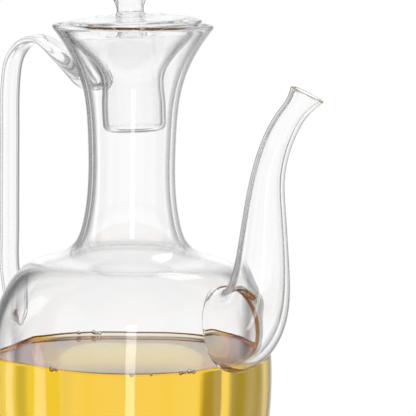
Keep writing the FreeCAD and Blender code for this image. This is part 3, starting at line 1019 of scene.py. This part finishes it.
def table_white():
    """White paper with a painted shadow under the foot, and a faint glow further out that fades towards the
    pitcher as a painted shadow.
    """
    material = bpy.data.materials.new("table_white")
    material.use_nodes = True
    tree = material.node_tree
    shader = tree.nodes["Principled BSDF"]
    shader.inputs["Roughness"].default_value = PAPER_ROUGHNESS
    shader.inputs["Emission Color"].default_value = WHITE
    coords = place_node(tree, "ShaderNodeTexCoord")
    reach = place_node(tree, "ShaderNodeVectorMath", {0: coords.outputs["Object"]}, operation="LENGTH")
    away = reach.outputs["Value"]
    # painted shadow: the paper's colour goes dark under the foot
    paper_with_painted_shadow = eased(tree, away, FOOT_SHADE, 2 * FOOT_SHADE, PAINTED_SHADOW_TONE, PAPER_TONE)
    tree.links.new(paper_with_painted_shadow, shader.inputs["Base Color"])
    # a glow seen by the eye, gloss and glass, faded out near the pitcher as a painted shadow round the foot
    path = place_node(tree, "ShaderNodeLightPath").outputs
    seen = maths(tree, "MAXIMUM", path["Is Camera Ray"], path["Is Glossy Ray"])
    seen = maths(tree, "MAXIMUM", seen, path["Is Transmission Ray"])
    glow_with_painted_shadow = maths(tree, "MULTIPLY", seen, eased(tree, away, SHADE_RADIUS, LIT_RADIUS, high=GLOW))
    tree.links.new(glow_with_painted_shadow, shader.inputs["Emission Strength"])
    return material


table = build_table()
table.data.materials.append(table_white())
print("table radius:", TABLE_RADIUS)

# %% [markdown]
# ## The studio's walls
# What draws a clear glass is the dark that it bends into its edges. So the white studio has grey flags,
# as black card is set beside glassware. Most are narrow and stand at set angles either side of the white
# ground behind the pitcher. The first is wide: it is the rest of the room, a little dimmer than the
# ground, and the ceiling is dimmer still. Each is a dip in the world's strength, worked out from
# direction. The eye sees a plain white ground, and plain surfaces such as the table get the same white
# light from everywhere, so the flags are only for gloss and for glass.

# %% The studio's walls
GREY_FLAGS = [
    # degrees to the left of the ground behind the pitcher, half width, soft edge, strength left
    (180.0, 118.0, 24.0, 0.72),
    (-136.0, 7.0, 8.0, 0.8),
    (-94.0, 8.0, 6.0, 0.2),
    (-63.0, 5.0, 4.0, 0.35),
    (-31.0, 3.5, 5.0, 0.68),
    (-14.0, 1.5, 4.0, 0.9),
    (19.6, 1.3, 1.0, 0.4),
    (35.0, 10.5, 3.0, 0.38),
    (63.0, 5.0, 4.0, 0.3),
    (94.0, 8.0, 6.0, 0.2),
    (136.0, 7.0, 8.0, 0.8),
]
CEILING = 0.45
CEILING_EDGE = (0.25, 0.6)


def studio_world():
    """A white studio with grey flags, which the eye sees as plain white."""
    world = bpy.data.worlds.new("studio")
    bpy.context.scene.world = world
    world.use_nodes = True
    tree = world.node_tree
    coords = place_node(tree, "ShaderNodeTexCoord")
    x, y, z = place_node(tree, "ShaderNodeSeparateXYZ", {0: coords.outputs["Generated"]}).outputs
    aside = maths(tree, "SUBTRACT", maths(tree, "ARCTAN2", y, x), VIEW_ANGLE + math.pi)
    strength = None
    for centre, half, soft, left in GREY_FLAGS:
        away = maths(tree, "SUBTRACT", aside, math.radians(centre))
        away = maths(tree, "ABSOLUTE", maths(tree, "WRAP", away, math.pi, -math.pi))
        flag = eased(tree, away, math.radians(half - soft / 2), math.radians(half + soft / 2), left)
        strength = flag if strength is None else maths(tree, "MULTIPLY", strength, flag)
    below_zenith = maths(tree, "SUBTRACT", 1.0, z)
    strength = maths(tree, "MULTIPLY", strength, eased(tree, below_zenith, *CEILING_EDGE, CEILING))
    path = place_node(tree, "ShaderNodeLightPath").outputs
    for plain in ("Is Camera Ray", "Is Diffuse Ray"):
        strength = maths(tree, "MAXIMUM", strength, path[plain])
    back = tree.nodes["Background"]
    back.inputs["Color"].default_value = WHITE
    tree.links.new(strength, back.inputs["Strength"])
    return world


studio_world()
print("grey flags:", len(GREY_FLAGS))

# %% [markdown]
# ## The lamps
# A tall softbox beside the camera puts the long pale streak on the belly. A dimmer one stands at the
# left, and a small one high up behind is there for the rims. They are set by how bright their faces look,
# so moving one keeps its streak. Light that has passed through glass doesn't see them, which
# is meant to keep their images off the back of the oil.

# %% The lamps
LAMPS = {
    # degrees to the right of the camera, distance, height, width, tall, how bright the face looks
    "front_strip": (2.5, 1.8, 0.1, 0.31, 2.2, 6.0),
    "side_strip": (-97.0, 1.8, 0.1, 0.36, 2.2, 1.6),
    "top_light": (150.0, 0.7, 1.2, 0.6, 0.4, 2.5),
}
LAMP_AIM = Vector((0, 0, 0.1))


def softbox(name, bearing, distance, height, width, tall, radiance):
    """A rectangular lamp that faces the pitcher; radiance is how bright its face looks."""
    lamp = bpy.data.lights.new(name, "AREA")
    lamp.shape = "RECTANGLE"
    lamp.size, lamp.size_y = width, tall
    lamp.energy = radiance * math.pi * width * tall
    holder = bpy.data.objects.new(name, lamp)
    bpy.context.scene.collection.objects.link(holder)
    angle = VIEW_ANGLE + math.radians(bearing)
    place = Vector((math.cos(angle) * distance, math.sin(angle) * distance, height))
    holder.location = place
    holder.rotation_euler = (LAMP_AIM - place).to_track_quat("-Z", "Y").to_euler()
    holder.visible_transmission = False
    return holder


for name, values in LAMPS.items():
    softbox(name, *values)
print("lamps:", ", ".join(LAMPS))

# %% [markdown]
# ## The camera
# A long lens from a metre away, a little above the mouth and tipped down to the belly. The lens keeps the
# mouth and the waterline almost in profile, which is how such a slim piece is best shown.

# %% Camera
CAMERA_DISTANCE = 1.0
CAMERA_HEIGHT = 0.237
AIM_HEIGHT = 0.128
LENS = 251.0
LOOK_ASIDE = math.radians(1.52)
ROLL = math.radians(0.6)
SENSOR_WIDTH = 36.0


def place_camera():
    """A long lens a little above the mouth, which looks past the axis on the spout's side."""
    data = bpy.data.cameras.new("camera")
    data.sensor_width = SENSOR_WIDTH
    data.lens = LENS
    camera = bpy.data.objects.new("camera", data)
    bpy.context.scene.collection.objects.link(camera)
    camera.location = (
        math.cos(VIEW_ANGLE) * CAMERA_DISTANCE,
        math.sin(VIEW_ANGLE) * CAMERA_DISTANCE,
        CAMERA_HEIGHT,
    )
    tip = math.pi / 2 - math.atan2(CAMERA_HEIGHT - AIM_HEIGHT, CAMERA_DISTANCE)
    heading = VIEW_ANGLE + math.pi / 2 - LOOK_ASIDE
    turn = Matrix.Rotation(heading, 4, "Z") @ Matrix.Rotation(tip, 4, "X") @ Matrix.Rotation(ROLL, 4, "Z")
    camera.rotation_euler = turn.to_euler()
    bpy.context.scene.camera = camera


place_camera()
scene = bpy.context.scene
print("camera at", [round(x, 3) for x in scene.camera.location])

# %% [markdown]
# ## Last settings
# Light crosses up to a dozen glass faces before it leaves the pitcher, and inside the round bead of the
# lip it goes round many more times. With fewer bounces the bead came out black, so the limit is high.

# %% Last settings
GLASS_BOUNCES = 192
CLEAR_BOUNCES = 16

scene.view_settings.view_transform = "Standard"
scene.cycles.max_bounces = GLASS_BOUNCES
scene.cycles.transmission_bounces = GLASS_BOUNCES
scene.cycles.glossy_bounces = GLASS_BOUNCES
scene.cycles.transparent_max_bounces = CLEAR_BOUNCES
